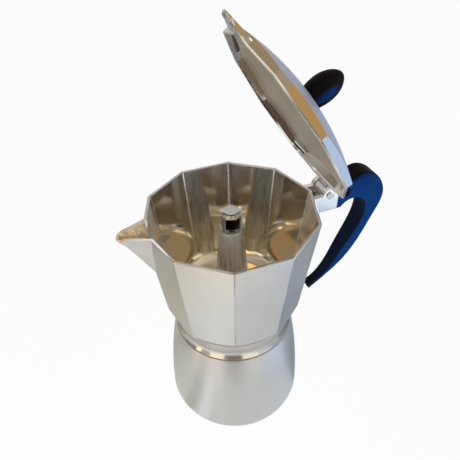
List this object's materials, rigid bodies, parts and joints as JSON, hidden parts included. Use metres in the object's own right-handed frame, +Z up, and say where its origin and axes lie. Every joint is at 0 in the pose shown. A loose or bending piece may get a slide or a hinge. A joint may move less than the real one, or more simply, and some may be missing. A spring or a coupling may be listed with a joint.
{
  "type": "moka pot",
  "caption": "Stove-top coffee maker with a bell-shaped boiler, a faceted spouted jug screwed on top, a hinged domed lid shown open and a curved blue handle.",
  "frame": {"origin": "centre of the flat base's underside, on the axis that boiler and jug share", "axes": "+Z up the pot's axis, +X towards the handle, -X towards the spout, +Y towards the safety valve"},
  "size_m": [0.179, 0.1153, 0.2952],
  "materials": {
    "satin_aluminium": "satin turned",
    "polished_aluminium": "polished",
    "steel": "brushed",
    "brass": "machined",
    "rubber": "matte",
    "handle_plastic": "soft matte",
    "collar_plastic": "matte"
  },
  "bodies": {
    "boiler": {"boiler": "satin_aluminium", "valve_body": "brass", "valve_washer": "rubber", "valve_cap": "brass", "valve_spring": "steel", "funnel": "polished_aluminium", "funnel_screen": "polished_aluminium"},
    "valve_plunger": {"valve_plunger": "brass"},
    "seal": {"gasket": "rubber", "filter_plate": "polished_aluminium"},
    "jug": {"jug": "satin_aluminium", "column": "steel", "column_cap": "steel", "hinge_pin": "steel", "handle": "handle_plastic", "handle_screw": "steel"},
    "lid": {"lid": "polished_aluminium", "knob_collar": "collar_plastic", "knob": "handle_plastic", "knob_washer": "steel", "knob_screw": "steel"}
  },
  "joints": [
    {"name": "jug_lift", "type": "slide", "parent": "boiler", "child": "seal", "axis": [0, 0, 1], "range_m": [0, 0.008]},
    {"name": "jug_unscrew", "type": "hinge", "parent": "seal", "child": "jug", "pos_m": [0, 0, 0.1], "axis": [0, 0, 1], "range_deg": [0, 720]},
    {"name": "lid_hinge", "type": "hinge", "parent": "jug", "child": "lid", "pos_m": [0.0645, 0, 0.1795], "axis": [0, 1, 0], "range_deg": [-59.3, 32]},
    {"name": "valve_lift", "type": "slide", "parent": "boiler", "child": "valve_plunger", "axis": [0, 1, 0], "range_m": [0, 0.0015], "stiffness_N_per_m": 2000, "springref_m": -0.002}
  ],
  "couplings": [
    {"joint": "jug_lift", "follows": "jug_unscrew", "m_per_rad": 0.0006366}
  ]
}
